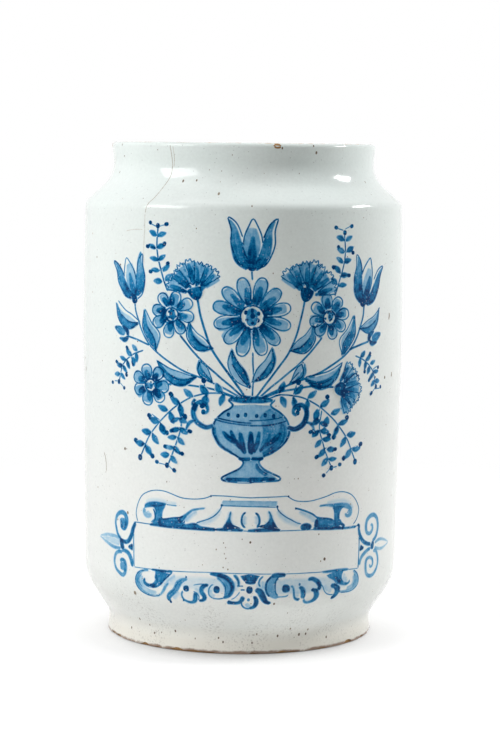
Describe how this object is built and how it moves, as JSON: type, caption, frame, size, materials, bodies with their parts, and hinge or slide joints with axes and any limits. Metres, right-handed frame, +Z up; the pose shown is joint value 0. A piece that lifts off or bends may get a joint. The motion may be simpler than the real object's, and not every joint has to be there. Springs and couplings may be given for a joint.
{
  "type": "albarello drug jar",
  "caption": "Wheel-thrown tin-glazed pharmacy jar with a straight body, sloping shoulder, short neck and low foot, painted in blue with a scrolled blank label.",
  "frame": {"origin": "centre of the foot, on the plane that the jar stands on", "axes": "+Z up along the axis that the jar was thrown about, -Y towards the painted front, +X to the viewer's right"},
  "size_m": [0.1832, 0.183, 0.28],
  "materials": {
    "fired_clay": "matte",
    "tin_glaze": "gloss",
    "cobalt_blue": "gloss"
  },
  "bodies": {
    "root": {"clay_body": "fired_clay", "outer_glaze": "tin_glaze", "inner_glaze": "tin_glaze"}
  },
  "joints": []
}
